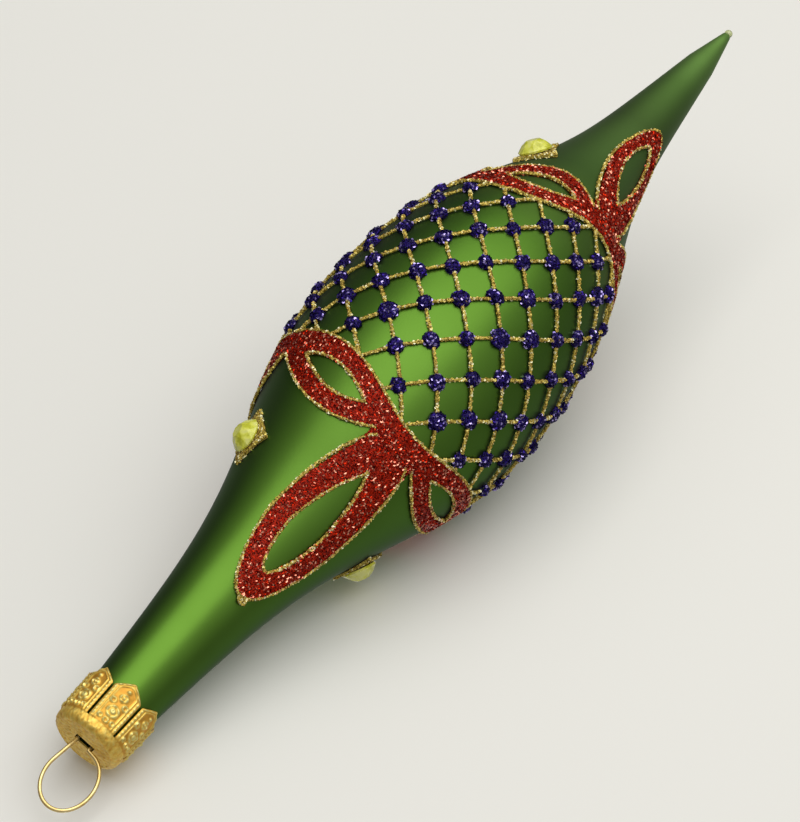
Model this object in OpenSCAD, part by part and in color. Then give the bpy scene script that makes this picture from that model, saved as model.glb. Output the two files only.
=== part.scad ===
// Olive-shaped blown glass ornament, hung cap up, with a raised glitter trellis, ribbon bows and gems.
// Millimetres. +Z runs up the ornament's axis. The origin is where a hook bears, inside the wire loop's top.

/* [Glass spindle] */
// Greatest outside diameter of the belly
belly_d = 50; // [44:0.5:56]
// Length from the neck's mouth down to the widest ring of the belly
neck_run = 104; // [96:0.5:116]
// Length from the widest ring down to where the point starts
tip_run = 94.5; // [86:0.5:106]
// Length of the drawn-out point
point_run = 10; // [6:0.5:14]
// Outside diameter of the neck at its mouth
neck_d = 11.8; // [11:0.1:12.6]
// Outside diameter where the point starts
tip_d = 6.2; // [5:0.1:7.4]
// Outside diameter at the end of the point
point_d = 1.7; // [1.4:0.1:2.4]
// Radius that the neck's cone gains on its way to the belly
neck_flare = 7.4; // [6:0.1:9]
// Radius that the tip's cone gains on its way to the belly
tip_flare = 11.9; // [10:0.1:13]
// Half length of the belly's swell towards the neck
neck_reach = 41; // [37:0.5:45]
// Half length of the belly's swell towards the tip
tip_reach = 48; // [44:0.5:52]
// Fullness of the swell towards the neck
neck_fullness = 2.4; // [2:0.05:3]
// Fullness of the swell towards the tip
tip_fullness = 3.7; // [3:0.05:4.4]
// Length over which the cones ease into the belly's widest ring
belly_ease = 18; // [14:0.5:22]
// Thickness of the glass
wall = 0.8; // [0.6:0.05:1]
// Thickness of the mirror lining
lining_t = 0.12; // [0.1:0.01:0.2]
// Diameter of the clear pip that seals the point
pip_d = 2; // [1.6:0.1:2.6]

/* [Crown cap] */
// Outside diameter of the cap at its shoulder
cap_d = 14.6; // [14:0.1:16]
// Height of the cap from its top to the petals' points
cap_h = 12; // [10:0.5:14]
// Thickness of the pressed sheet
cap_sheet = 0.45; // [0.3:0.05:0.6]
// Radius of the rounded shoulder
shoulder_r = 1.4; // [1:0.1:1.8]
// Number of petals
petals = 7; // [6:1:9]
// Width of the gap between two petals
petal_gap = 0.5; // [0.4:0.1:1]
// Height of the plain band above the petals
band_h = 2.2; // [1.8:0.1:3]
// Height of each petal's pointed end
petal_point = 2; // [1.5:0.1:3]
// Length of the slot that the hanger goes through
slot_l = 4.2; // [3.8:0.1:5]
// Width of the slot
slot_w = 2.2; // [1.8:0.1:3]

/* [Hanger] */
// Diameter of the hanger's wire
wire_d = 0.8; // [0.6:0.05:1]
// Inside width of the loop
loop_w = 8.7; // [8:0.1:10]
// Inside height of the loop's oval
loop_tall = 12; // [10:0.1:13]
// Height of the wire's middle, at the loop's lowest point, over the cap's top
loop_rise = 0.6; // [0.6:0.1:2]
// How far the loop leans to one side of the axis
loop_lean = 2.5; // [1.5:0.1:2.6]
// Depth that the spring legs reach below the cap's top
leg_depth = 13; // [10:0.5:16]
// Distance of each leg's end from the axis
leg_spread = 3.5; // [3:0.1:3.8]

/* [Trellis] */
// Distance from the belly's widest ring down to the trellis's middle row
trellis_drop = 7; // [3:0.5:11]
// Dots in a row round the belly
dots_round = 15; // [12:1:18]
// Rows of crossings on each side of the middle row
rows_each_side = 6; // [4:1:6]
// How far a dot beside a ribbon may be moved towards the middle row to make room for it
dot_nudge = 1.8; // [0:0.1:2]
// Distance between rows along the axis
row_step = 5.2; // [4.8:0.1:5.3]
// Turn of the first dot of the middle row about the axis, in degrees
trellis_turn = -92.6; // [-104:0.1:-80]
// Twist from one row to the next, in degrees
row_twist = -1.3; // [-3:0.1:1]
// Diameter of a dot
dot_d = 3.4; // [2.8:0.1:3.6]
// Height of a dot
dot_h = 1.6; // [1:0.1:2]
// Width of a trellis line
line_w = 1.1; // [0.7:0.05:1.2]
// Height of a trellis line
line_h = 0.55; // [0.3:0.05:0.7]

/* [Ribbon bows] */
// Distance from the trellis's middle row to the ribbon at a swag's end
swag_start = 23.4; // [23.4:0.1:25]
// How much further the ribbon lies from the middle row under a knot
knot_rise = 7; // [6:0.1:8]
// Distance from the middle row to the top of a side loop
side_crest = 38; // [37:0.1:39.2]
// How far a side loop falls from its top to the swag's end
side_fall = 9; // [8:0.1:10]
// Turn from the knot to a side loop's top, in degrees
side_turn = 42; // [38:1:48]
// Turn from the knot to the near end of a side loop's hole, in degrees
hole_near = 25; // [24:0.5:28]
// Turn from the knot to the far end of a side loop's hole, in degrees
hole_far = 75; // [71:0.5:77]
// Half width of a side loop's hole
hole_half = 2.9; // [2.6:0.05:3.1]
// Half turn of the long loop where it is widest, in degrees
long_turn = 36.5; // [33:0.5:40]
// Half turn over which the knot joins a long loop to the swag, in degrees
knot_turn = 14.4; // [13:0.2:16]
// Depth of ribbon between the top of a knot and a long loop's hole
knot_depth = 5.8; // [5:0.1:7]
// Turn of the first neck-side knot about the axis, in degrees
neck_bow_turn = -107; // [-130:1:-90]
// Distance from the middle row to the far end of a neck-side long loop
neck_long_end = 74; // [71:0.5:77]
// Distance from the middle row to the widest part of a neck-side long loop
neck_long_wide = 57; // [55:0.5:59]
// Half turn of a neck-side long loop's hole where it is widest, in degrees
neck_hole_turn = 18; // [16:0.5:19]
// Width of the ribbon across the far end of a neck-side long loop
neck_band = 6.4; // [5.4:0.1:7]
// Turn of the first tip-side knot about the axis, in degrees
tip_bow_turn = -117; // [-130:1:-90]
// Distance from the middle row to the far end of a tip-side long loop
tip_long_end = 65; // [62:0.5:68]
// Distance from the middle row to the widest part of a tip-side long loop
tip_long_wide = 52; // [50:0.5:54]
// Half turn of a tip-side long loop's hole where it is widest, in degrees
tip_hole_turn = 20; // [17:0.5:20.5]
// Width of the ribbon across the far end of a tip-side long loop
tip_band = 4.8; // [4.6:0.1:6]
// Thickness of the ribbon's glitter
ribbon_t = 0.5; // [0.3:0.05:0.7]
// Width of a gold outline, laid along the inside of a ribbon's edges and round its holes
outline_w = 1; // [0.7:0.05:1.1]
// Height of a gold outline
outline_h = 0.75; // [0.5:0.05:0.9]

/* [Gems] */
// Distance from the middle row to the gems on the neck side
neck_gem_run = 46; // [44:0.5:50]
// Distance from the middle row to the gems on the tip side
tip_gem_run = 41.5; // [40:0.5:46]
// Diameter of a gem
gem_d = 7; // [6:0.1:7.4]
// Height of a gem
gem_h = 2.4; // [1.8:0.1:3]
// Corner to corner size of the diamond pad under a gem
pad_across = 11.4; // [10:0.1:12]
// Thickness of a pad
pad_t = 0.5; // [0.3:0.05:0.7]

/* [Clearances] */
// Glue line between the glass and what is laid on it
bond = 0.15; // [0.1:0.01:0.2]
// Gap between neighbouring lines, dots and ribbons
lay_gap = 0.1; // [0.05:0.01:0.15]
// Gap between the cap and the neck's mouth, and round the hanger in the slot
cap_clear = 0.2; // [0.15:0.01:0.3]
// Gap between the petals' points and the glass
skirt_clear = 0.4; // [0.2:0.05:0.6]
// Gap between the lining and the glass
lining_clear = 0.03; // [0.02:0.01:0.06]

/* [Hidden] */
$fn = 64;

gold = "goldenrod";
lacquer_green = "olivedrab";
ribbon_red = "firebrick";

belly_r = belly_d / 2;
wire_r = wire_d / 2;
dot_r = dot_d / 2;

bows = 2;
bow_step = 360 / bows;
swag_half = bow_step / 2;

// Half sizes and middle of the loop's oval, to the middle of the wire; its inside passes through the origin
loop_half = [loop_w / 2 + wire_r, loop_tall / 2 + wire_r];
loop_centre = [-loop_lean, 0, -loop_tall / 2 * sqrt(1 - pow(2 * loop_lean / loop_w, 2))];

cap_top_z = loop_centre[2] - loop_half[1] - loop_rise;
mouth_z = cap_top_z - cap_sheet - cap_clear;
belly_z = mouth_z - neck_run;
point_z = belly_z - tip_run;
end_z = point_z - point_run;
trellis_z = belly_z - trellis_drop;

profile_step = 3;

// Distance along a side of the belly, flattened near the widest ring
function eased(d) = sqrt(d * d + belly_ease * belly_ease) - belly_ease;

// Radius at distance d from the widest ring: a cone towards the end plus the belly's swell
function swell(d, run, end_r, flare, reach, fullness) =
  end_r + flare * (1 - eased(d) / eased(run))
  + (belly_r - end_r - flare) * exp(-pow(d / reach, fullness));

// Outside radius of the glass at height z
function glass_r(z) =
  z >= belly_z ? swell(z - belly_z, neck_run, neck_d / 2, neck_flare, neck_reach, neck_fullness)
  : z >= point_z ? swell(belly_z - z, tip_run, tip_d / 2, tip_flare, tip_reach, tip_fullness)
  : point_d / 2 + (tip_d - point_d) / 2 * (z - end_z) / point_run;

// Slope of the profile, radius gained per millimetre of height
function glass_slope(z) = (glass_r(z + 0.05) - glass_r(z - 0.05)) / 0.1;

// Heights from one level to another in even steps
function levels(from, to, step) =
  let (count = max(1, round(abs(to - from) / step)))
  [for (i = [0 : count]) from + (to - from) * i / count];

// Outward normal of the glass at a turn about the axis and a height
function outward(turn, z) =
  let (slope = glass_slope(z), length = sqrt(1 + slope * slope))
  [cos(turn) / length, sin(turn) / length, -slope / length];

// Point that stands off the glass by a lift
function spot(turn, z, lift) =
  [glass_r(z) * cos(turn), glass_r(z) * sin(turn), z] + lift * outward(turn, z);

function unit(v) = v / norm(v);

// Inside radius of the glass, and of a layer further in
function bore_r(z, inset) = glass_r(z) - (wall + inset) * sqrt(1 + pow(glass_slope(z), 2));

// Lowest height at which the hollow is still open
hollow_end_z = point_z;

// Heights at which the bore is laid out, from the mouth down
bore_levels = levels(mouth_z, hollow_end_z, profile_step);

// Sets a child on the glass with its own +Z along the outward normal
module seated(turn, z, lift) {
  translate(spot(turn, z, lift))
    rotate([0, 0, turn])
      rotate([0, 90 + atan(glass_slope(z)), 0])
        children();
}

// Spindle blown from tube: open at the neck's mouth, drawn to a closed point
module glass_body() {
  outer = concat(
    [for (z = levels(mouth_z, belly_z, profile_step)) [glass_r(z), z]],
    [for (z = levels(belly_z - profile_step, point_z, profile_step)) [glass_r(z), z]],
    [[point_d / 2, end_z], [0, end_z]]
  );
  inner = concat(
    [[0, hollow_end_z]],
    [for (i = [len(bore_levels) - 1 : -1 : 0]) [bore_r(bore_levels[i], 0), bore_levels[i]]]
  );
  color(lacquer_green) rotate_extrude() polygon(concat(outer, inner));
}

// Mirror coat that is rinsed round the inside of the glass, up to the ends of the hanger's legs
module silver_lining() {
  coated = [for (z = bore_levels) if (z < mouth_z - leg_depth && z > hollow_end_z + profile_step / 2) z];
  inside = lining_clear + lining_t;
  floor_z = hollow_end_z + lining_clear;
  outer = concat(
    [for (z = coated) [bore_r(z, lining_clear), z]],
    [[bore_r(floor_z, lining_clear), floor_z], [0, floor_z], [0, floor_z + lining_t]]
  );
  inner = concat(
    [[bore_r(floor_z + lining_t, inside), floor_z + lining_t]],
    [for (i = [len(coated) - 1 : -1 : 0]) [bore_r(coated[i], inside), coated[i]]]
  );
  color("silver") rotate_extrude() polygon(concat(outer, inner));
}

// Bead of clear glass where the point was melted off and sealed
module tip_pip() {
  r = pip_d / 2;
  drop = concat(
    [[0, 0]],
    [for (t = [30 : -15 : -75]) [r * cos(t), r * (sin(t) - 0.5)]],
    [[0, -1.5 * r]]
  );
  color("lightyellow") translate([0, 0, end_z - lining_clear]) rotate_extrude() polygon(drop);
}

// Outline of the gap between two petals, in the sheet's own plane: a slit that opens at the points
module petal_notch(half_foot) {
  slit_top = cap_top_z - band_h;
  point_top = cap_top_z - cap_h + petal_point;
  // The slit's sides run on a little below the cap's foot
  below = 0.12 * petal_point;
  floor_z = cap_top_z - cap_h - below;
  half_floor = half_foot + (half_foot - petal_gap / 2) * below / petal_point;
  polygon([
    [-petal_gap / 2, slit_top], [petal_gap / 2, slit_top], [petal_gap / 2, point_top],
    [half_floor, floor_z], [-half_floor, floor_z], [-petal_gap / 2, point_top]
  ]);
}

// Pressed sheet cap with a slotted top and a skirt of pointed petals
module crown_cap() {
  top_r = cap_d / 2;
  foot_z = cap_top_z - cap_h;
  foot_r = glass_r(foot_z) + skirt_clear + cap_sheet;
  bend_in = shoulder_r - cap_sheet;
  outer = concat(
    [[0, cap_top_z]],
    [for (t = [90 : -15 : 0])
      [top_r - shoulder_r + shoulder_r * cos(t), cap_top_z - shoulder_r + shoulder_r * sin(t)]],
    [[foot_r, foot_z], [foot_r - cap_sheet, foot_z]]
  );
  inner = concat(
    [for (t = [0 : 15 : 90])
      [top_r - shoulder_r + bend_in * cos(t), cap_top_z - shoulder_r + bend_in * sin(t)]],
    [[0, cap_top_z - cap_sheet]]
  );
  half_foot = 0.84 * foot_r * tan(180 / petals);
  cut_from = top_r - 4 * cap_sheet;
  color(gold) difference() {
    rotate_extrude() polygon(concat(outer, inner));
    translate([0, 0, cap_top_z]) cube([slot_l, slot_w, 4 * cap_sheet], center = true);
    for (i = [0 : petals - 1])
      rotate([0, 0, -90 + (i + 0.5) * 360 / petals])
        translate([cut_from, 0, 0])
          rotate([90, 0, 90]) linear_extrude(2 * foot_r - cut_from) petal_notch(half_foot);
  }
}

// Turn on the loop's oval where a straight run from a point meets it, side 1 right and -1 left
function tangent_turn(from, side) =
  let (x = (from[0] - loop_centre[0]) / loop_half[0], z = (from[2] - loop_centre[2]) / loop_half[1])
  atan2(z, x) + side * acos(1 / norm([x, z]));

// Wire bent along a path in the XZ plane, as one closed solid
module bent_wire(path, r, sides) {
  count = len(path);
  points = [for (i = [0 : count - 1])
    let (
      along = unit(path[min(i + 1, count - 1)] - path[max(i - 1, 0)]),
      across = cross([0, 1, 0], along)
    )
    for (k = [0 : sides - 1])
      path[i] + r * (across * cos(360 * k / sides) + [0, 1, 0] * sin(360 * k / sides))];
  end = sides * (count - 1);
  faces = concat(
    [for (i = [0 : count - 2], k = [0 : sides - 1])
      let (a = sides * i + k, b = sides * i + (k + 1) % sides)
      each [[a, b + sides, b], [a, a + sides, b + sides]]],
    [for (k = [1 : sides - 2]) each [[0, k, k + 1], [end, end + k + 1, end + k]]]
  );
  polyhedron(points = points, faces = faces);
}

// Wire loop whose two legs go through the slot and spring apart inside the neck
module hanger_wire() {
  leg_x = slot_l / 2 - wire_r - cap_clear;
  // Each leg stands straight in the slot from just under the cap's sheet to just over it
  slot_zs = [cap_top_z - 2 * cap_sheet, cap_top_z + cap_sheet];
  turn_right = tangent_turn([leg_x, 0, slot_zs[1]], 1);
  turn_left = tangent_turn([-leg_x, 0, slot_zs[1]], -1) + 360;
  leg_end_z = cap_top_z - leg_depth;
  path = concat(
    [[leg_spread, 0, leg_end_z]],
    [for (z = slot_zs) [leg_x, 0, z]],
    [for (t = levels(turn_right, turn_left, 8))
      loop_centre + [loop_half[0] * cos(t), 0, loop_half[1] * sin(t)]],
    [for (i = [1, 0]) [-leg_x, 0, slot_zs[i]]],
    [[-leg_spread, 0, leg_end_z]]
  );
  color(gold) bent_wire(path, wire_r, 10);
}

// Distance of the ribbon's trellis edge from the middle row, at a turn q from a knot
function swag_edge(q) = swag_start + knot_rise * pow(cos(q), 4);

// Turn from the nearest knot
function from_knot(turn, knot) =
  let (t = turn - knot)
  t - bow_step * round(t / bow_step);

// Room that the trellis has at a turn, up to the gold outline of the ribbon on that side
function trellis_room(turn, side) =
  swag_edge(from_knot(turn, side > 0 ? neck_bow_turn : tip_bow_turn)) - 2 * lay_gap;

dot_step = 360 / dots_round;

// Turn of crossing n in row j
function dot_turn(j, n) = trellis_turn + dot_step * (n + (abs(j) % 2) / 2) + row_twist * j;

// Furthest that a dot's middle can be from the middle row at a turn, on the side of a run
function dot_room(turn, run) = trellis_room(turn, run < 0 ? -1 : 1) - dot_r;

// Turn and distance from the middle row of a crossing, moved in where a ribbon is just too close for its dot
function crossing(turn, run) =
  let (room = dot_room(turn, run), over = abs(run) - room)
  [turn, over > 0 && over <= dot_nudge ? sign(run) * room : run];

function dot_fits(at) = abs(at[1]) <= dot_room(at[0], at[1]);

function line_fits(at) = abs(at[1]) + line_w / 2 <= trellis_room(at[0], at[1] < 0 ? -1 : 1);

// Four corners of a bead's section, standing on the glass and narrower at the top
function bead_ring(at, normal, across, w, h) = [
  at + across * w / 2, at - across * w / 2,
  at - across * w * 0.3 + normal * h, at + across * w * 0.3 + normal * h
];

// Points of a bead along a path of [turn, z] spots, shifted sideways by offset
function bead_points(path, w, h, offset) =
  let (count = len(path), at = [for (p = path) spot(p[0], p[1], bond)])
  [for (i = [0 : count - 1])
    let (
      along = at[min(i + 1, count - 1)] - at[max(i - 1, 0)],
      normal = outward(path[i][0], path[i][1]),
      across = unit(cross(normal, along))
    )
    each bead_ring(at[i] + across * offset, normal, across, w, h)];

// Faces of a bead of count rings whose points start at an index
function bead_faces(count, start) =
  let (last = start + 4 * (count - 1))
  concat(
    [for (i = [0 : count - 2], k = [0 : 3])
      let (a = start + 4 * i + k, b = start + 4 * i + (k + 1) % 4)
      each [[a, b + 4, a + 4], [a, b, b + 4]]],
    [[start, start + 2, start + 1], [start, start + 3, start + 2],
      [last + 1, last + 2, last], [last + 2, last + 3, last]]
  );

// Running total of the rings before each bead
function rings_before(paths) =
  [for (i = 0, sum = 0; i < len(paths); sum = sum + len(paths[i]), i = i + 1) sum];

// Separate beads of one section, given as [path, offset] pairs
module beads(runs, w, h) {
  before = rings_before([for (run = runs) run[0]]);
  points = [for (run = runs) each bead_points(run[0], w, h, run[1])];
  faces = [for (i = [0 : len(runs) - 1]) each bead_faces(len(runs[i][0]), 4 * before[i])];
  polyhedron(points = points, faces = faces);
}

// Spot at a share of the way from one crossing to another
function between(from, to, share) = from + (to - from) * share;

// Ends of a trellis line between two crossings, stopped at the dots or at the ribbon; empty if too short
function line_ends(from, to) =
  let (
    start_on = dot_fits(from),
    end_on = dot_fits(to),
    length = norm(spot(to[0], trellis_z + to[1], 0) - spot(from[0], trellis_z + from[1], 0)),
    off = (dot_r + lay_gap) / length,
    free = [for (i = [0 : 24])
      let (s = off + (1 - 2 * off) * i / 24)
      if (line_fits(between(from, to, s))) s],
    first = start_on || len(free) == 0 ? off : free[0],
    last = end_on || len(free) == 0 ? 1 - off : free[len(free) - 1]
  )
  (start_on || end_on) && len(free) > 0 && (last - first) * length > line_w
    ? [for (s = [first, last]) let (p = between(from, to, s)) [p[0], trellis_z + p[1]]]
    : [];

// Gold glitter lines that cross in diamonds round the belly
module trellis_lines() {
  runs = [for (j = [-rows_each_side : rows_each_side - 1], n = [0 : dots_round - 1], lean = [0, 1])
    let (
      from = crossing(dot_turn(j, n), j * row_step),
      to = crossing(dot_turn(j, n) + row_twist + (lean - 0.5) * dot_step, (j + 1) * row_step),
      ends = line_ends(from, to)
    )
    if (len(ends) > 0) [ends, 0]];
  color(gold) beads(runs, line_w, line_h);
}

// Points of a dot: rings that draw in to a crown, on the glass at a turn and a height
function dot_points(turn, z, sides) =
  let (
    normal = outward(turn, z),
    round = [-sin(turn), cos(turn), 0],
    upward = cross(normal, round),
    foot = spot(turn, z, bond)
  )
  concat(
    [for (t = [0, 45], k = [0 : sides - 1])
      foot + normal * dot_h * sin(t)
        + dot_r * cos(t) * (round * cos(360 * k / sides) + upward * sin(360 * k / sides))],
    [foot + normal * dot_h]
  );

// Faces of a dot whose points start at an index
function dot_faces(start, sides) =
  let (crown = start + 2 * sides)
  concat(
    [for (k = [1 : sides - 2]) [start, start + k, start + k + 1]],
    [for (k = [0 : sides - 1])
      let (a = start + k, b = start + (k + 1) % sides)
      each [[a, a + sides, b + sides], [a, b + sides, b], [a + sides, crown, b + sides]]]
  );

// Purple glitter dots over the crossings
module trellis_dots() {
  sides = 10;
  seats = [for (j = [-rows_each_side : rows_each_side], n = [0 : dots_round - 1])
    let (at = crossing(dot_turn(j, n), j * row_step))
    if (dot_fits(at)) [at[0], trellis_z + at[1]]];
  points = [for (seat = seats) each dot_points(seat[0], seat[1], sides)];
  faces = [for (i = [0 : len(seats) - 1]) each dot_faces(i * (2 * sides + 1), sides)];
  color("indigo") polyhedron(points = points, faces = faces);
}

// Edges of a bow, each a distance from the middle row at a turn q from the knot
function side_top(q) =
  side_crest - side_fall * pow((max(abs(q), knot_turn) - side_turn) / (swag_half - side_turn), 2);

hole_mid = (hole_near + hole_far) / 2;
hole_long = (hole_far - hole_near) / 2;

function hole_centre(q) = (swag_edge(q) + side_top(q)) / 2;

function hole_open(q) = max(0, hole_half * (1 - pow((abs(q) - hole_mid) / hole_long, 2)));

knot_top = side_top(knot_turn);
loop_bluntness = 0.98;

// Width that an outline and its gap take from the red ribbon
trim = outline_w + 3 * lay_gap;

// Share of a loop's height left at a share t of its half turn, straight at first and then round
function drawn_in(t) = pow(1 - pow(t, 1.3), 1 / 1.3);

function rounded(t) = sqrt(1 - t * t);

function long_low(q, wide) =
  wide - (wide - knot_top) * drawn_in(min(1, (abs(q) - knot_turn) / (long_turn - knot_turn)));

function long_high(q, wide, end) = wide + (end - wide) * rounded(abs(q) / long_turn);

function long_hole_low(q, wide, hole_turn) =
  wide - (wide - knot_top - knot_depth) * drawn_in(min(1, abs(q) / hole_turn));

function long_hole_high(q, wide, end, hole_turn, band) =
  wide + (end - band - wide) * rounded(min(1, abs(q) / hole_turn));

// Turns of the columns that a patch is laid out on, mirrored about the knot
function mirrored(turns) =
  concat([for (i = [len(turns) - 1 : -1 : 1]) -turns[i]], turns);

function spaced(from, to, count) = [for (i = [1 : count]) from + (to - from) * i / count];

// Degrees about the axis that a width on the glass takes at a distance from the middle row
function turn_of(width, side, run) = width / glass_r(trellis_z + side * run) * 180 / PI;

// Distance along the axis that a width square to an edge takes, for an edge that rises by so much in a degree
function along_of(width, side, run, rise) = width * norm([1, rise * turn_of(1, side, run)]);

swag_turns = mirrored(concat(
  [0], spaced(0, knot_turn, 4), spaced(knot_turn, hole_near, 3), spaced(hole_near, hole_far, 10),
  spaced(hole_far, swag_half - turn_of(2 * trim, -1, swag_start), 4)
));

// Red part of the festoon's two edges at a turn, which leaves room for the outlines beyond the knot
function red_swag_edge(q, side) =
  swag_edge(q) + along_of(trim, side, swag_edge(q), swag_edge(q + 0.5) - swag_edge(q - 0.5));

function red_side_top(q, side) =
  side_top(q) - along_of(trim, side, side_top(q), side_top(abs(q) + 0.5) - side_top(abs(q) - 0.5))
  * min(1, max(0, abs(q) / knot_turn - 1) / 0.2);

// Columns of the festoon: [turn, edges], with the side loops' holes between edges 1 and 2
function swag_columns(side) = [for (q = swag_turns)
  [q, [red_swag_edge(q, side), hole_centre(q) - hole_open(q), hole_centre(q) + hole_open(q),
    red_side_top(q, side)]]];

// Columns of the long loop, with its hole between edges 1 and 2
function long_columns(side, wide, end, hole_turn, band) =
  let (
    inset = turn_of(1.15 * trim, side, wide),
    red_turn = long_turn - inset,
    turns = mirrored(concat(
      [0], spaced(0, knot_turn, 5), spaced(knot_turn, hole_turn, 3),
      spaced(hole_turn, loop_bluntness * red_turn, 5)
    ))
  )
  [for (q = turns)
    [q, [
      abs(q) <= knot_turn ? side_top(q) + lay_gap : long_low(abs(q) + inset, wide),
      long_hole_low(q, wide, hole_turn),
      long_hole_high(q, wide, end, hole_turn, band),
      wide + (end - trim - wide) * rounded(abs(q) / red_turn)
    ]]];

// Patch of glitter laid on the glass: columns of four edges, side 1 above and -1 below the middle row
module patch(columns, knot, side, thickness) {
  order = side > 0 ? [0, 1, 2, 3] : [3, 2, 1, 0];
  count = len(columns);
  points = [for (c = columns, k = order, lift = [bond, bond + thickness])
    spot(knot + c[0], trellis_z + side * c[1][k], lift)];
  split = [for (c = columns) c[1][2] - c[1][1] > 1e-6];
  // Point of column i at edge k on the under face (0) or the upper face (1); a closed hole shares one point
  function at(i, k, face) = 2 * (4 * i + (k == 2 && !split[i] ? 1 : k)) + face;
  function square(a, b, c, d) = [[a, b, c], [a, c, d]];
  faces = concat(
    [for (i = [0 : count - 2], k = [0, 2])
      each concat(
        square(at(i, k, 1), at(i, k + 1, 1), at(i + 1, k + 1, 1), at(i + 1, k, 1)),
        square(at(i, k, 0), at(i + 1, k, 0), at(i + 1, k + 1, 0), at(i, k + 1, 0))
      )],
    [for (i = [0 : count - 2], k = [0, 2]) if (k == 0 || split[i] || split[i + 1])
      each square(at(i, k, 1), at(i + 1, k, 1), at(i + 1, k, 0), at(i, k, 0))],
    [for (i = [0 : count - 2], k = [1, 3]) if (k == 3 || split[i] || split[i + 1])
      each square(at(i + 1, k, 1), at(i, k, 1), at(i, k, 0), at(i + 1, k, 0))],
    [for (k = [0, 2])
      each concat(
        square(at(0, k + 1, 1), at(0, k, 1), at(0, k, 0), at(0, k + 1, 0)),
        square(at(count - 1, k, 1), at(count - 1, k + 1, 1), at(count - 1, k + 1, 0), at(count - 1, k, 0))
      )]
  );
  polyhedron(points = points, faces = faces);
}

// Red glitter bow: a festoon with two side loops, and a long loop that points along the glass
module bow(knot, side, wide, end, hole_turn, band) {
  color(ribbon_red) {
    patch(swag_columns(side), knot, side, ribbon_t);
    patch(long_columns(side, wide, end, hole_turn, band), knot, side, ribbon_t);
  }
}

// Gold glitter lines along a bow's edges
module bow_outline(knot, side, wide, end, hole_turn, band) {
  inside = side * outline_w / 2;
  beside = side * (outline_w / 2 + lay_gap);
  swag_end = swag_half - turn_of(outline_w / 2 + lay_gap, side, swag_start);
  fork = 1.3 * knot_turn;
  hole_reach = hole_long * sqrt(1 - (outline_w + 3 * lay_gap) / hole_half);
  round_loop = levels(-loop_bluntness * long_turn, loop_bluntness * long_turn, 6);
  round_hole = levels(-loop_bluntness * hole_turn, loop_bluntness * hole_turn, 4);
  hole_start = 0.36 * hole_turn;
  rise = [0, 0.35, 0.65, 0.85];
  function placed(edge) = [for (p = edge) [knot + p[0], trellis_z + side * p[1]]];
  function climb(from, to) = [for (t = rise) from + (to - from) * t];
  function back(list) = [for (i = [len(list) - 1 : -1 : 0]) list[i]];
  long_edge = concat(
    [for (q = climb(-fork, -long_turn)) [q, long_low(q, wide)]],
    [[-long_turn, wide]],
    [for (q = round_loop) [q, long_high(q, wide, end)]],
    [[long_turn, wide]],
    [for (q = back(climb(fork, long_turn))) [q, long_low(q, wide)]]
  );
  hole_edge = concat(
    [for (q = climb(-hole_start, -hole_turn)) [q, long_hole_low(q, wide, hole_turn)]],
    [[-hole_turn, wide]],
    [for (q = round_hole) [q, long_hole_high(q, wide, end, hole_turn, band)]],
    [[hole_turn, wide]],
    [for (q = back(climb(hole_start, hole_turn))) [q, long_hole_low(q, wide, hole_turn)]]
  );
  swag = [for (q = levels(-swag_end, swag_end, 7)) [q, swag_edge(q)]];
  sides = [for (hand = [-1, 1])
    let (
      crest = levels(hand > 0 ? fork : -swag_end, hand > 0 ? swag_end : -fork, 7),
      hole = levels(hand * hole_mid - hole_reach, hand * hole_mid + hole_reach, 5)
    )
    each [
      [placed([for (q = crest) [q, side_top(q)]]), -inside],
      [placed([for (q = hole) [q, hole_centre(q) + hole_open(q)]]), -beside],
      [placed([for (q = hole) [q, hole_centre(q) - hole_open(q)]]), beside]
    ]];
  runs = concat([[placed(swag), inside], [placed(long_edge), -inside], [placed(hole_edge), -beside]], sides);
  color(gold) beads(runs, outline_w, outline_h);
}

// Gold glitter diamond with hollow sides that a gem is set on
module gem_pad(turn, side, run) {
  half = pad_across / 2;
  half_turn = half / glass_r(trellis_z + side * run) * 180 / PI;
  columns = [for (t = mirrored(concat([0], spaced(0, loop_bluntness, 6))))
    let (reach = half * pow(1 - abs(t), 1.15))
    [t * half_turn, [run - reach, run, run, run + reach]]];
  color(gold) patch(columns, turn, side, pad_t);
}

// Flat-backed faceted stone
module gem(turn, side, run) {
  r = gem_d / 2;
  facets = 10;
  seat = bond + pad_t + lay_gap;
  color("greenyellow")
    seated(turn, trellis_z + side * run, seat)
      rotate_extrude($fn = facets)
        polygon([
          [0, 0], [r * 0.96, 0], [r, gem_h * 0.16], [r * 0.66, gem_h * 0.72], [r * 0.34, gem_h], [0, gem_h]
        ]);
}

// Bows, outlines, pads and gems number i of each end
module neck_bow(i) {
  bow(neck_bow_turn + i * bow_step, 1, neck_long_wide, neck_long_end, neck_hole_turn, neck_band);
}

module tip_bow(i) {
  bow(tip_bow_turn + i * bow_step, -1, tip_long_wide, tip_long_end, tip_hole_turn, tip_band);
}

module neck_bow_outline(i) {
  bow_outline(neck_bow_turn + i * bow_step, 1, neck_long_wide, neck_long_end, neck_hole_turn, neck_band);
}

module tip_bow_outline(i) {
  bow_outline(tip_bow_turn + i * bow_step, -1, tip_long_wide, tip_long_end, tip_hole_turn, tip_band);
}

module neck_gem_pad(i) {
  gem_pad(neck_bow_turn + swag_half + i * bow_step, 1, neck_gem_run);
}

module tip_gem_pad(i) {
  gem_pad(tip_bow_turn + swag_half + i * bow_step, -1, tip_gem_run);
}

module neck_gem(i) {
  gem(neck_bow_turn + swag_half + i * bow_step, 1, neck_gem_run);
}

module tip_gem(i) {
  gem(tip_bow_turn + swag_half + i * bow_step, -1, tip_gem_run);
}

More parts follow.
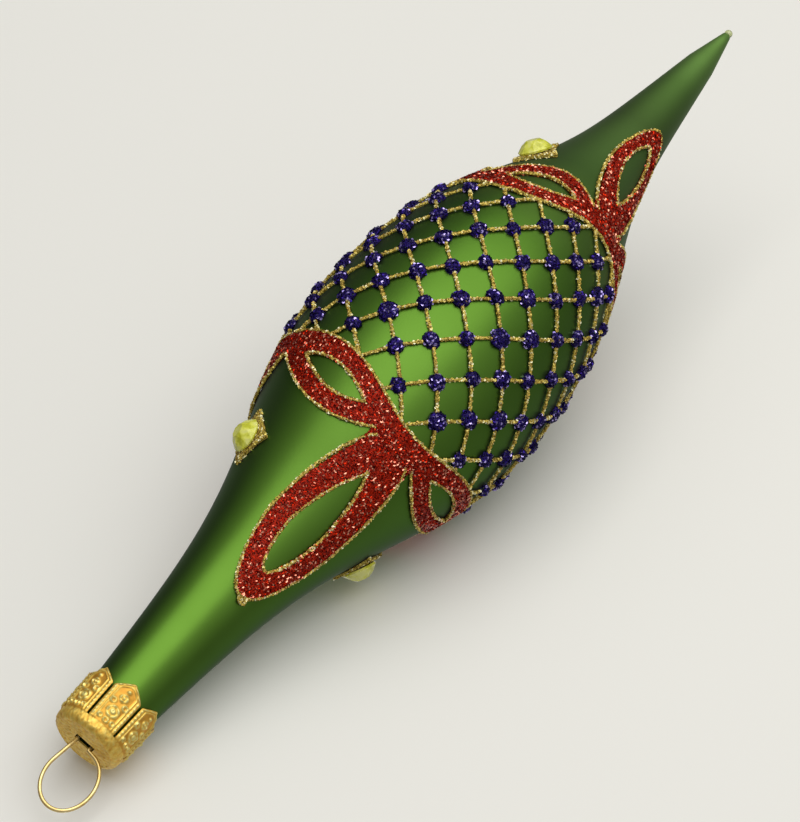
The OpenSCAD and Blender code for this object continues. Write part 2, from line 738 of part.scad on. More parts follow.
glass_body();
silver_lining();
tip_pip();
crown_cap();
hanger_wire();
trellis_lines();
trellis_dots();
neck_bow(0);  // neck_bow_1
neck_bow(1);  // neck_bow_2
tip_bow(0);  // tip_bow_1
tip_bow(1);  // tip_bow_2
neck_bow_outline(0);  // neck_bow_outline_1
neck_bow_outline(1);  // neck_bow_outline_2
tip_bow_outline(0);  // tip_bow_outline_1
tip_bow_outline(1);  // tip_bow_outline_2
neck_gem_pad(0);  // neck_gem_pad_1
neck_gem_pad(1);  // neck_gem_pad_2
tip_gem_pad(0);  // tip_gem_pad_1
tip_gem_pad(1);  // tip_gem_pad_2
neck_gem(0);  // neck_gem_1
neck_gem(1);  // neck_gem_2
tip_gem(0);  // tip_gem_1
tip_gem(1);  // tip_gem_2
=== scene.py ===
import math
import random

import bmesh
import bpy
from mathutils import Matrix, Vector, noise


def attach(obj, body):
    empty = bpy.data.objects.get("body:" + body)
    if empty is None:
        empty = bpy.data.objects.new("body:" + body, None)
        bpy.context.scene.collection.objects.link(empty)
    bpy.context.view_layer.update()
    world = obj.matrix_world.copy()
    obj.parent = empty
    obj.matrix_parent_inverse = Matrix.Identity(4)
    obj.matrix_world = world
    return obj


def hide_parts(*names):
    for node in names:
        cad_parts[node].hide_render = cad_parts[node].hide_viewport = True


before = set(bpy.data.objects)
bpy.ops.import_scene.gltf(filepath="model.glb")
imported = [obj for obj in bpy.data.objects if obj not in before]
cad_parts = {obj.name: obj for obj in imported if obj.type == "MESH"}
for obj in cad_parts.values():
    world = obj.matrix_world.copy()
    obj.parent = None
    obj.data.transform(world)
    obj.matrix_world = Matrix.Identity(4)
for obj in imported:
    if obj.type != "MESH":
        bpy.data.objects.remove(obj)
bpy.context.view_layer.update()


# Glass spindle. A tube of clear glass is blown to an olive, drawn to a point and cut open at the neck.
# It is silvered inside, then dipped in clear green lacquer and frosted, so that it shines like satin metal.
scene = bpy.context.scene
MM = 0.001
MOUTH_Z = -12.56
BELLY_Z = -116.56
POINT_Z = -211.06
END_Z = -221.06
BELLY_R = 25.0
NECK_R = 5.9
TIP_R = 3.1
END_R = 0.85
WALL = 0.8
EASE = 18.0
NECK_SWELL = {"flare": 7.4, "reach": 41, "fullness": 2.4}
POINT_SWELL = {"flare": 11.9, "reach": 48, "fullness": 3.7}
SLOPE_STEP = 0.05
RIM_ROUND = 0.2
END_ROUND = 0.4
BORE_STOP = 1.0
BORE_END_Z = POINT_Z + 0.6
GLASS_SIDES = 144
NECK_STEPS, POINT_STEPS, END_STEPS, BORE_STEPS = 80, 70, 5, 70
DARKER_FROM_Z = -140


def eased(distance):
    return math.hypot(distance, EASE) - EASE


def swell(distance, run, end_r, flare, reach, fullness):
    cone = end_r + flare * (1 - eased(distance) / eased(run))
    return cone + (BELLY_R - end_r - flare) * math.exp(-((distance / reach) ** fullness))


def glass_radius(z):
    if z >= BELLY_Z:
        return swell(z - BELLY_Z, MOUTH_Z - BELLY_Z, NECK_R, **NECK_SWELL)
    if z >= POINT_Z:
        return swell(BELLY_Z - z, BELLY_Z - POINT_Z, TIP_R, **POINT_SWELL)
    return END_R + (TIP_R - END_R) * (z - END_Z) / (POINT_Z - END_Z)


def glass_slope(z):
    return (glass_radius(z + SLOPE_STEP) - glass_radius(z - SLOPE_STEP)) / (2 * SLOPE_STEP)


def outward(turn, z):
    return Vector((math.cos(turn), math.sin(turn), -glass_slope(z))).normalized()


def spot(turn, z, lift):
    on_glass = Vector((glass_radius(z) * math.cos(turn), glass_radius(z) * math.sin(turn), z))
    return on_glass + lift * outward(turn, z)


def spread(low, high, count):
    return [low + (high - low) * i / count for i in range(count + 1)]


def add_piece(name, points, faces, edges=()):
    mesh = bpy.data.meshes.new(name)
    mesh.from_pydata([Vector(point) * MM for point in points], edges, faces)
    piece = bpy.data.objects.new(name, mesh)
    scene.collection.objects.link(piece)
    return piece


def turned(name, profile, sides, closed):
    points, rings, faces = [], [], []
    for r, z in profile:
        around = 1 if r < 1e-6 else sides
        rings.append([len(points) + i % around for i in range(sides)])
        for i in range(around):
            turn = 2 * math.pi * i / sides
            points.append((r * math.cos(turn), r * math.sin(turn), z))
    pairs = list(zip(rings, rings[1:])) + ([(rings[-1], rings[0])] if closed else [])
    for upper, lower in pairs:
        for i in range(sides):
            k = (i + 1) % sides
            corners = [upper[i], lower[i], lower[k], upper[k]]
            face = [corner for n, corner in enumerate(corners) if corner not in corners[:n]]
            if len(face) > 2:
                faces.append(face)
    piece = add_piece(name, points, faces)
    piece.data.shade_smooth()
    return piece


neck_levels = spread(MOUTH_Z - RIM_ROUND, BELLY_Z, NECK_STEPS)
point_levels = spread(BELLY_Z, POINT_Z + BORE_STOP, POINT_STEPS)[1:]
point_levels += spread(POINT_Z, END_Z + END_ROUND, END_STEPS)
outer_wall = [(glass_radius(z), z) for z in neck_levels + point_levels]
outer_wall += [(END_R * 0.8, END_Z + 0.1), (END_R * 0.5, END_Z), (0, END_Z)]
bore = [(glass_radius(z) - WALL * math.hypot(1, glass_slope(z)), z)
        for z in spread(POINT_Z + BORE_STOP, MOUTH_Z - RIM_ROUND, BORE_STEPS)]
rim = [(NECK_R - WALL / 2 - RIM_ROUND, MOUTH_Z), (NECK_R - WALL / 2 + RIM_ROUND, MOUTH_Z)]
glass_spindle = turned("glass_spindle", outer_wall + [(0, BORE_END_Z)] + bore + rim, GLASS_SIDES, True)


def tone(red, green, blue):
    channels = [c / 255 for c in (red, green, blue)]
    return [c / 12.92 if c < 0.04045 else ((c + 0.055) / 1.055) ** 2.4 for c in channels] + [1]


def new_finish(name):
    finish = bpy.data.materials.new(name)
    finish.use_nodes = True
    return finish, finish.node_tree.nodes, finish.node_tree.links, finish.node_tree.nodes["Principled BSDF"]


def object_noise(nodes, links, scale, detail):
    place = nodes.new("ShaderNodeTexCoord")
    texture = nodes.new("ShaderNodeTexNoise")
    texture.inputs["Scale"].default_value = scale
    texture.inputs["Detail"].default_value = detail
    links.new(place.outputs["Object"], texture.inputs["Vector"])
    return texture


def add_ramp(nodes, links, source, stops):
    ramp = nodes.new("ShaderNodeValToRGB")
    while len(ramp.color_ramp.elements) < len(stops):
        ramp.color_ramp.elements.new(0.5)
    for element, (place, colour) in zip(ramp.color_ramp.elements, stops):
        element.position = place
        element.color = colour
    links.new(source, ramp.inputs["Fac"])
    return ramp


def add_bump(nodes, links, height, strength, distance, shader):
    bump = nodes.new("ShaderNodeBump")
    bump.inputs["Strength"].default_value = strength
    bump.inputs["Distance"].default_value = distance
    links.new(height, bump.inputs["Height"])
    links.new(bump.outputs["Normal"], shader.inputs["Normal"])


def ranged(nodes, links, source, low, high, source_low=0.0, source_high=1.0):
    span = nodes.new("ShaderNodeMapRange")
    span.inputs["From Min"].default_value = source_low
    span.inputs["From Max"].default_value = source_high
    span.inputs["To Min"].default_value = low
    span.inputs["To Max"].default_value = high
    links.new(source, span.inputs["Value"])
    return span.outputs["Result"]


def multiplied(nodes, links, share, one, other):
    mix = nodes.new("ShaderNodeMix")
    mix.data_type = "RGBA"
    mix.blend_type = "MULTIPLY"
    mix.inputs["Factor"].default_value = share
    links.new(one, mix.inputs["A"])
    links.new(other, mix.inputs["B"])
    return mix.outputs["Result"]


lacquer, nodes, links, shader = new_finish("frosted_green_lacquer")
shader.inputs["Metallic"].default_value = 0.95
shader.inputs["Coat Roughness"].default_value = 0.4
shader.inputs["Coat IOR"].default_value = 1.06
shader.inputs["Coat Tint"].default_value = (0.34, 0.44, 0.28, 1)
shader.inputs["Sheen Weight"].default_value = 0.06
shader.inputs["Sheen Roughness"].default_value = 0.5
clouds = object_noise(nodes, links, 60, 3)
greens = add_ramp(nodes, links, clouds.outputs["Fac"],
                  [(0.3, (0.32, 0.52, 0.1, 1)), (0.7, (0.36, 0.58, 0.12, 1))])
# Towards the point the lacquer is duller, and its colour is painted darker: painted shade, deepest a little
# short of the point
place = nodes.new("ShaderNodeTexCoord")
axes = nodes.new("ShaderNodeSeparateXYZ")
links.new(place.outputs["Object"], axes.inputs["Vector"])
to_point = ranged(nodes, links, axes.outputs["Z"], 0.0, 1.0, DARKER_FROM_Z * MM, END_Z * MM)
painted_point_shade = add_ramp(nodes, links, to_point, [
    (0.0, (1, 1, 1, 1)), (0.32, (0.36, 0.42, 0.5, 1)), (0.58, (0.23, 0.26, 0.32, 1)),
    (0.75, (0.32, 0.38, 0.44, 1)), (1.0, (0.6, 0.68, 0.8, 1))])
green_with_painted_shade = multiplied(nodes, links, 1.0, greens.outputs["Color"], painted_point_shade.outputs["Color"])
links.new(green_with_painted_shade, shader.inputs["Base Color"])
links.new(ranged(nodes, links, to_point, 1.0, 0.22, 0.0, 0.5), shader.inputs["Coat Weight"])
frost = object_noise(nodes, links, 5200, 2)
dulled = nodes.new("ShaderNodeMath")
dulled.operation = "ADD"
links.new(ranged(nodes, links, frost.outputs["Fac"], 0.32, 0.42), dulled.inputs[0])
links.new(ranged(nodes, links, to_point, 0.0, 0.25, 0.0, 0.5), dulled.inputs[1])
links.new(dulled.outputs["Value"], shader.inputs["Roughness"])
add_bump(nodes, links, frost.outputs["Fac"], 0.12, 0.00004, shader)
glass_spindle.data.materials.append(lacquer)
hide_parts("glass_body")
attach(glass_spindle, "glass")


# Mirror lining. Silver nitrate is rinsed round the inside of the glass and leaves a bright film, which can
# be seen only down the open neck. The CAD shell stays and takes a finish with faint tide marks.
mirror, nodes, links, shader = new_finish("rinsed_silver")
shader.inputs["Metallic"].default_value = 1.0
tide = object_noise(nodes, links, 240, 4)
silver = add_ramp(nodes, links, tide.outputs["Fac"],
                  [(0.35, tone(196, 196, 190)), (0.7, tone(228, 229, 226))])
links.new(silver.outputs["Color"], shader.inputs["Base Color"])
links.new(ranged(nodes, links, tide.outputs["Fac"], 0.06, 0.18), shader.inputs["Roughness"])
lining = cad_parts["silver_lining"]
lining.data.materials.clear()
lining.data.materials.append(mirror)


# Clear pip. The flame that seals the point leaves a bead of bare glass, because the dip stops just short
# of it. It is one with the spindle and catches the light as a pale dot.
PIP_R = 0.85
PIP_TOP_Z = END_Z - 0.03
pip_profile = [(0, PIP_TOP_Z)]
pip_profile += [(PIP_R * math.cos(math.radians(t)), PIP_TOP_Z + PIP_R * (math.sin(math.radians(t)) - 0.5))
                for t in range(30, -90, -8)]
pip_profile += [(0, PIP_TOP_Z - 1.5 * PIP_R)]
clear_pip = turned("clear_pip", pip_profile, 32, False)
clear, nodes, links, shader = new_finish("bare_glass")
shader.inputs["Transmission Weight"].default_value = 0.75
shader.inputs["IOR"].default_value = 1.5
seeds = object_noise(nodes, links, 1800, 2)
pale = add_ramp(nodes, links, seeds.outputs["Fac"], [(0.3, tone(196, 208, 140)), (0.7, tone(226, 232, 190))])
links.new(pale.outputs["Color"], shader.inputs["Base Color"])
shader.inputs["Roughness"].default_value = 0.08
clear_pip.data.materials.append(clear)
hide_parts("tip_pip")
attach(clear_pip, "glass")


# Crown cap. Thin brass-coloured sheet is pressed to a cup, slotted for the hanger and cut into petals.
# A die embosses each petal with a beaded edge, an inner line and small florets; the gold is painted darker in
# the recesses and paler on the raised parts, painted shade and painted highlight.
CAP_TOP_Z = -11.91
CAP_H = 12.0
BAND_H = 2.2
PETALS = 7
PETAL_GAP = 0.5
PETAL_POINT = 2.1
POINT_TAPER, POINT_CURVE = 0.94, 1.1
TOP_R = 7.3
SHOULDER_R = 1.4
FOOT_R = glass_radius(CAP_TOP_Z - CAP_H) + 0.85
BAND_R = TOP_R + 0.04
SLOT_HALF = (2.1, 1.1)
CAP_SHEET = 0.32
TOP_SINK = 0.13
FIRST_PETAL = -90
PETAL_COLUMNS = 40
PETAL_ROWS = 64
BEAD_STEP = 0.9
BEAD_IN, BEAD_WIDTH, BEAD_H = 0.42, 0.27, 0.38
RIDGE_IN, RIDGE_WIDTH, RIDGE_H = 1.1, 0.17, 0.2
CURL_H = 0.42
POINT_EDGE = 0.25
RELIEF_START = 0.5
# Two grains of the sheet's plain parts: height and how many to a millimetre
GRAINS = ((0.13, 1.7), (0.09, 3.9))
GRAIN_SINK = 0.1
# Level of the plain sheet in the colour that follows its height: painted shade where low, painted highlight
# where raised
PLAIN_TONE = 0.12
FOLD_ANGLE = 55
TOP_RINGS = 22
SHOULDER_ANGLES = range(80, -1, -10)
petal_length = CAP_H - BAND_H
petal_half = math.pi * TOP_R / PETALS - PETAL_GAP / 2
# Rings and beads on a petal: centre across and down, radius of the ring, width of its line, lobes
petal_curls = [(0, 3.1, 1.05, 0.27, 5), (0, 3.1, 0.3, 0.3, 0), (0, 6.35, 0.66, 0.22, 4),
               (0, 6.35, 0.1, 0.2, 0), (-1.32, 5.0, 0.48, 0.2, 1), (1.32, 5.0, 0.48, 0.2, -1),
               (0, 1.05, 0.46, 0.2, 2), (-1.35, 1.2, 0.36, 0.19, 1), (1.35, 1.2, 0.36, 0.19, -1),
               (0, 7.9, 0.12, 0.24, 0)]


def petal_width(y):
    into_point = max(0, (y - (petal_length - PETAL_POINT)) / PETAL_POINT)
    return petal_half * (1 - POINT_TAPER * into_point ** POINT_CURVE)


def hump(distance, width):
    return math.exp(-((distance / width) ** 2))


def pulse(angle):
    return 0.72 + 0.28 * math.cos(angle)


def relief_at(x, y):
    to_edge = min(petal_width(y) - abs(x), petal_length - y + POINT_EDGE)
    beads = BEAD_H * hump(to_edge - BEAD_IN, BEAD_WIDTH) * pulse(2 * math.pi * y / BEAD_STEP)
    ridge = RIDGE_H * hump(to_edge - RIDGE_IN, RIDGE_WIDTH)
    curls = [hump(math.hypot(x - cx, y - cy) - r, width)
             * (1 if lobes == 0 else pulse(lobes * math.atan2(y - cy, x - cx)))
             for cx, cy, r, width, lobes in petal_curls]
    return min(1, y / RELIEF_START) * (beads + ridge + CURL_H * max(curls))


def grain_at(point):
    return sum(height * noise.noise(Vector(point) * scale) for height, scale in GRAINS)


cap_points, cap_faces, cap_relief, cap_columns = [], [], [], []
petal_middles = [math.radians(FIRST_PETAL + petal * 360 / PETALS) for petal in range(PETALS)]
for middle in petal_middles:
    cap_columns += [middle + s * petal_half / TOP_R for s in spread(-1, 1, PETAL_COLUMNS)]
    cap_columns.append(middle + math.pi / PETALS)


def add_cap_ring(place):
    start = len(cap_points)
    for turn in cap_columns:
        point, relief = place(turn)
        cap_points.append(point)
        cap_relief.append(relief)
    return start


def top_ring(share):
    def place(turn):
        across, along = math.cos(turn), math.sin(turn)
        slot = min(SLOT_HALF[0] / max(abs(across), 1e-6), SLOT_HALF[1] / max(abs(along), 1e-6))
        r = slot + (TOP_R - SHOULDER_R - slot) * share
        grain = min(1, 4 * share) * grain_at((r * across, r * along, 0))
        return (r * across, r * along, CAP_TOP_Z - TOP_SINK + grain), PLAIN_TONE + grain
    return place


def side_ring(r, z):
    def place(turn):
        grain = grain_at((r * math.cos(turn), r * math.sin(turn), z))
        swollen = r + grain - GRAIN_SINK
        return (swollen * math.cos(turn), swollen * math.sin(turn), z), PLAIN_TONE + grain
    return place


ring_starts = [add_cap_ring(top_ring(share)) for share in spread(0, 1, TOP_RINGS)]
for t in SHOULDER_ANGLES:
    out, up = SHOULDER_R * math.cos(math.radians(t)), SHOULDER_R * math.sin(math.radians(t))
    ring_starts.append(add_cap_ring(side_ring(TOP_R - SHOULDER_R + out, CAP_TOP_Z - SHOULDER_R + up)))
for drop in spread(SHOULDER_R, BAND_H, 3)[1:]:
    ring_starts.append(add_cap_ring(side_ring(BAND_R, CAP_TOP_Z - drop)))
for above, below in zip(ring_starts, ring_starts[1:]):
    for i in range(len(cap_columns)):
        k = (i + 1) % len(cap_columns)
        cap_faces.append((above + i, below + i, below + k, above + k))
for petal, middle in enumerate(petal_middles):
    top_row = ring_starts[-1] + petal * (PETAL_COLUMNS + 2)
    last_row = [top_row + i for i in range(PETAL_COLUMNS + 1)]
    for y in spread(0, petal_length, PETAL_ROWS)[1:]:
        row = []
        for s in spread(-1, 1, PETAL_COLUMNS):
            x = s * petal_width(y)
            relief = relief_at(x, y)
            r = BAND_R + (FOOT_R - BAND_R) * y / petal_length + relief
            turn = middle + x / TOP_R
            row.append(len(cap_points))
            cap_points.append((r * math.cos(turn), r * math.sin(turn), CAP_TOP_Z - BAND_H - y))
            cap_relief.append(relief)
        for i in range(PETAL_COLUMNS):
            cap_faces.append((last_row[i], row[i], row[i + 1], last_row[i + 1]))
        last_row = row
embossed_cap = add_piece("embossed_cap", cap_points, cap_faces)
embossed_cap.data.attributes.new("relief", "FLOAT", "POINT").data.foreach_set("value", cap_relief)


def settled(piece):
    graph = bpy.context.evaluated_depsgraph_get()
    mesh = bpy.data.meshes.new_from_object(
        piece.evaluated_get(graph), preserve_all_data_layers=True, depsgraph=graph)
    piece.modifiers.clear()
    piece.data = mesh
    return piece


sheet = embossed_cap.modifiers.new("sheet", "SOLIDIFY")
sheet.thickness = CAP_SHEET * MM
sheet.offset = -1
settled(embossed_cap)
embossed_cap.data.shade_smooth()
embossed_cap.data.set_sharp_from_angle(angle=math.radians(FOLD_ANGLE))
gold_sheet, nodes, links, shader = new_finish("embossed_gold_sheet")
shader.inputs["Metallic"].default_value = 0.6
# Painted shade and highlight: the gold is darker where the sheet lies low and paler where it is raised
raised = nodes.new("ShaderNodeAttribute")
raised.attribute_name = "relief"
height_shaded_golds = add_ramp(nodes, links, raised.outputs["Fac"], [
    (0.0, tone(232, 170, 60)), (PLAIN_TONE, tone(255, 214, 98)), (0.32, tone(255, 240, 150))])
mottle = object_noise(nodes, links, 900, 4)
stains = add_ramp(nodes, links, mottle.outputs["Fac"],
                  [(0.3, tone(190, 180, 160)), (0.65, tone(255, 255, 255))])
stained = multiplied(nodes, links, 0.5, height_shaded_golds.outputs["Color"], stains.outputs["Color"])
links.new(stained, shader.inputs["Base Color"])
links.new(ranged(nodes, links, mottle.outputs["Fac"], 0.3, 0.5), shader.inputs["Roughness"])
add_bump(nodes, links, mottle.outputs["Fac"], 0.25, 0.0001, shader)
embossed_cap.data.materials.append(gold_sheet)
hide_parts("crown_cap")
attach(embossed_cap, "cap")


# Hanger. One length of drawn wire is bent to an oval loop that leans a little; its legs go down through the
# cap's slot and spring apart inside the neck, which is all that holds the cap on.
WIRE_R = 0.39
LOOP_HALF = (4.75, 6.4)
LOOP_CENTRE = (-2.5, -4.91)
LEG_X = 1.5
LEG_SPREAD = 3.5
LEG_DEPTH = 13.0
SLOT_LEVELS = (CAP_TOP_Z - 0.9, CAP_TOP_Z + 0.45)
LOOP_STEPS = 72


def loop_meets(leg_x, side):
    x = (leg_x - LOOP_CENTRE[0]) / LOOP_HALF[0]
    z = (SLOT_LEVELS[1] - LOOP_CENTRE[1]) / LOOP_HALF[1]
    return math.atan2(z, x) + side * math.acos(1 / math.hypot(x, z))


def bent_leg(side):
    foot, low, high = ((side * LEG_SPREAD, CAP_TOP_Z - LEG_DEPTH), (side * LEG_X, SLOT_LEVELS[0]),
                       (side * LEG_X, SLOT_LEVELS[1]))
    path = [foot] + [(foot[0] + (low[0] - foot[0]) * t, foot[1] + (low[1] - foot[1]) * t) for t in (0.4, 0.8)]
    return path + [low, ((low[0] + high[0]) / 2, (low[1] + high[1]) / 2), high]


wire_path = bent_leg(1)
wire_path += [(LOOP_CENTRE[0] + LOOP_HALF[0] * math.cos(t), LOOP_CENTRE[1] + LOOP_HALF[1] * math.sin(t))
              for t in spread(loop_meets(LEG_X, 1), loop_meets(-LEG_X, -1) + 2 * math.pi, LOOP_STEPS)]
wire_path += bent_leg(-1)[::-1]
wire_curve = bpy.data.curves.new("bent_hanger", "CURVE")
wire_curve.dimensions = "3D"
wire_curve.bevel_depth = WIRE_R * MM
wire_curve.bevel_resolution = 4
wire_curve.use_fill_caps = True
spline = wire_curve.splines.new("POLY")
spline.points.add(len(wire_path) - 1)
for point, (x, z) in zip(spline.points, wire_path):
    point.co = (x * MM, 0, z * MM, 1)
wire_draft = bpy.data.objects.new("wire_draft", wire_curve)
scene.collection.objects.link(wire_draft)
wire_mesh = bpy.data.meshes.new_from_object(wire_draft.evaluated_get(bpy.context.evaluated_depsgraph_get()))
bpy.data.objects.remove(wire_draft)
bent_hanger = bpy.data.objects.new("bent_hanger", wire_mesh)
scene.collection.objects.link(bent_hanger)
bent_hanger.data.shade_smooth()
gold_wire, nodes, links, shader = new_finish("drawn_gold_wire")
shader.inputs["Metallic"].default_value = 0.85
tarnish = object_noise(nodes, links, 420, 4)
wire_golds = add_ramp(nodes, links, tarnish.outputs["Fac"],
                      [(0.3, tone(222, 186, 108)), (0.62, tone(252, 230, 166))])
links.new(wire_golds.outputs["Color"], shader.inputs["Base Color"])
links.new(ranged(nodes, links, tarnish.outputs["Fac"], 0.16, 0.34), shader.inputs["Roughness"])
wire_mesh.materials.clear()
wire_mesh.materials.append(gold_wire)
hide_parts("hanger_wire")
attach(bent_hanger, "hanger")


# Ribbon bows. Thick glue is laid on with a nozzle and strewn with red glitter: a swag with two side loops,
# and a long loop that points along the glass. Flakes lie at all angles, so each one flashes on its own.
# Each flake's colour is also picked at random: the middle of the range is the glitter's own colour, the
# near-black end painted shade and the near-white end painted glints.
FLAKE_TILT = 0.85
FLAKE_SIDES = 6
FLAKE_SIZES = (0.6, 1.15)
LINE_STEP = 0.5
LINE_SIDES = 7
LUMPS_PER_METRE = 900
LEAST_FACING = -0.2


def glitter_tree(name, along_lines):
    tree = bpy.data.node_groups.new(name, "GeometryNodeTree")
    face = tree.interface
    face.new_socket("Geometry", in_out="OUTPUT", socket_type="NodeSocketGeometry")
    for label, kind in (("Geometry", "Geometry"), ("Line radius", "Float"), ("Unevenness", "Float"),
                        ("Flake radius", "Float"), ("Flakes per square metre", "Float"), ("Seed", "Int"),
                        ("Glue", "Material"), ("Flakes", "Material")):
        face.new_socket(label, in_out="INPUT", socket_type="NodeSocket" + kind)
    make, join = tree.nodes.new, tree.links.new
    given = make("NodeGroupInput").outputs
    body = given["Geometry"]
    if along_lines:
        curve = make("GeometryNodeMeshToCurve")
        join(body, curve.inputs["Mesh"])
        even = make("GeometryNodeResampleCurve")
        even.mode = "LENGTH"
        even.inputs["Length"].default_value = LINE_STEP * MM
        join(curve.outputs["Curve"], even.inputs["Curve"])
        section = make("GeometryNodeCurvePrimitiveCircle")
        section.inputs["Resolution"].default_value = LINE_SIDES
        join(given["Line radius"], section.inputs["Radius"])
        sweep = make("GeometryNodeCurveToMesh")
        sweep.inputs["Fill Caps"].default_value = True
        join(even.outputs["Curve"], sweep.inputs["Curve"])
        join(section.outputs["Curve"], sweep.inputs["Profile Curve"])
        body = sweep.outputs["Mesh"]
    normal = make("GeometryNodeInputNormal").outputs["Normal"]
    lumps = make("ShaderNodeTexNoise")
    lumps.inputs["Scale"].default_value = LUMPS_PER_METRE
    lumps.inputs["Detail"].default_value = 2
    centred = make("ShaderNodeMath")
    centred.operation = "SUBTRACT"
    centred.inputs[1].default_value = 0.5
    join(lumps.outputs[0], centred.inputs[0])
    push = make("ShaderNodeMath")
    push.operation = "MULTIPLY"
    join(centred.outputs[0], push.inputs[0])
    join(given["Unevenness"], push.inputs[1])
    shove = make("ShaderNodeVectorMath")
    shove.operation = "SCALE"
    join(normal, shove.inputs[0])
    join(push.outputs[0], shove.inputs["Scale"])
    uneven = make("GeometryNodeSetPosition")
    join(body, uneven.inputs["Geometry"])
    join(shove.outputs[0], uneven.inputs["Offset"])
    glue = make("GeometryNodeSetMaterial")
    join(uneven.outputs["Geometry"], glue.inputs["Geometry"])
    join(given["Glue"], glue.inputs["Material"])

    # Flakes only on what faces out from the ornament's axis
    flat = make("ShaderNodeVectorMath")
    flat.operation = "MULTIPLY"
    flat.inputs[1].default_value = (1, 1, 0)
    join(make("GeometryNodeInputPosition").outputs["Position"], flat.inputs[0])
    away = make("ShaderNodeVectorMath")
    away.operation = "NORMALIZE"
    join(flat.outputs[0], away.inputs[0])
    facing = make("ShaderNodeVectorMath")
    facing.operation = "DOT_PRODUCT"
    join(normal, facing.inputs[0])
    join(away.outputs[0], facing.inputs[1])
    shown = make("FunctionNodeCompare")
    shown.operation = "GREATER_THAN"
    shown.inputs[1].default_value = LEAST_FACING
    join(facing.outputs["Value"], shown.inputs[0])
    strew = make("GeometryNodeDistributePointsOnFaces")
    join(uneven.outputs["Geometry"], strew.inputs["Mesh"])
    join(shown.outputs[0], strew.inputs["Selection"])
    join(given["Flakes per square metre"], strew.inputs["Density"])
    join(given["Seed"], strew.inputs["Seed"])
    flake = make("GeometryNodeMeshCircle")
    flake.fill_type = "NGON"
    flake.inputs["Vertices"].default_value = FLAKE_SIDES
    join(given["Flake radius"], flake.inputs["Radius"])
    lean = make("FunctionNodeRandomValue")
    lean.data_type = "FLOAT_VECTOR"
    lean.inputs[0].default_value = (-FLAKE_TILT, -FLAKE_TILT, -math.pi)
    lean.inputs[1].default_value = (FLAKE_TILT, FLAKE_TILT, math.pi)
    join(given["Seed"], lean.inputs["Seed"])
    turn = make("FunctionNodeEulerToRotation")
    join(lean.outputs[0], turn.inputs[0])
    tilted = make("FunctionNodeRotateRotation")
    tilted.rotation_space = "LOCAL"
    join(strew.outputs["Rotation"], tilted.inputs[0])
    join(turn.outputs[0], tilted.inputs[1])
    sizes = make("FunctionNodeRandomValue")
    sizes.data_type = "FLOAT"
    sizes.inputs[2].default_value, sizes.inputs[3].default_value = FLAKE_SIZES
    join(given["Seed"], sizes.inputs["Seed"])
    place = make("GeometryNodeInstanceOnPoints")
    join(strew.outputs["Points"], place.inputs["Points"])
    join(flake.outputs["Mesh"], place.inputs["Instance"])
    join(tilted.outputs[0], place.inputs["Rotation"])
    join(sizes.outputs[1], place.inputs["Scale"])
    # A random number for each flake picks its colour, from painted shade through the glitter's own colour to
    # painted glints
    chance = make("FunctionNodeRandomValue")
    chance.data_type = "FLOAT"
    join(given["Seed"], chance.inputs["Seed"])
    named = make("GeometryNodeStoreNamedAttribute")
    named.data_type = "FLOAT"
    named.domain = "INSTANCE"
    named.inputs["Name"].default_value = "flake_tone_and_glint"
    join(place.outputs["Instances"], named.inputs["Geometry"])
    join(chance.outputs[1], [s for s in named.inputs if s.name == "Value" and s.enabled][0])
    loose = make("GeometryNodeRealizeInstances")
    join(named.outputs["Geometry"], loose.inputs["Geometry"])
    shiny = make("GeometryNodeSetMaterial")
    join(loose.outputs["Geometry"], shiny.inputs["Geometry"])
    join(given["Flakes"], shiny.inputs["Material"])
    both = make("GeometryNodeJoinGeometry")
    join(shiny.outputs["Geometry"], both.inputs["Geometry"])
    join(glue.outputs["Geometry"], both.inputs["Geometry"])
    join(both.outputs["Geometry"], make("NodeGroupOutput").inputs["Geometry"])
    return tree


def strewn(piece, tree, values):
    glitter = piece.modifiers.new("glitter", "NODES")
    glitter.node_group = tree
    for socket in tree.interface.items_tree:
        if socket.in_out == "INPUT" and socket.name in values:
            glitter[socket.identifier] = values[socket.name]
    return settled(piece)


def glitter_finish(name, dark, middle, painted_glint, metal):
    flakes, nodes, links, shader = new_finish(name + "_flakes")
    shader.inputs["Metallic"].default_value = metal
    shader.inputs["Roughness"].default_value = 0.16
    chance = nodes.new("ShaderNodeAttribute")
    chance.attribute_name = "flake_tone_and_glint"
    # The dark end of the flakes' colours is painted shade and the bright end painted glints; the middle is
    # the glitter's own colour
    mix = add_ramp(nodes, links, chance.outputs["Fac"],
                   [(0.24, dark), (0.55, middle), (0.72, middle), (0.92, painted_glint)])
    links.new(mix.outputs["Color"], shader.inputs["Base Color"])
    glue, nodes, links, shader = new_finish(name + "_glue")
    shader.inputs["Metallic"].default_value = 0.35
    shader.inputs["Specular IOR Level"].default_value = 0.15
    shader.inputs["Roughness"].default_value = 0.42
    grain = object_noise(nodes, links, 3600, 2)
    mix = add_ramp(nodes, links, grain.outputs["Fac"], [(0.35, dark), (0.68, middle)])
    links.new(mix.outputs["Color"], shader.inputs["Base Color"])
    add_bump(nodes, links, grain.outputs["Fac"], 0.9, 0.0002, shader)
    return {"Glue": glue, "Flakes": flakes}


# Runs are measured along the axis from the middle of the trellis, turns round it in degrees
TRELLIS_Z = -123.56
NECK_KNOT, TIP_KNOT = -107, -117
RIBBON_SPREAD = 0.7
MERGE_GAP = 0.002
WALL_FACING = 0.5
SWAG_END, SWAG_JOIN = 82.0, 90.3
SWAG_END_TOP = 28.6


def from_knot(turn, run):
    off = turn - (NECK_KNOT if run >= 0 else TIP_KNOT)
    return off - 180 * round(off / 180)


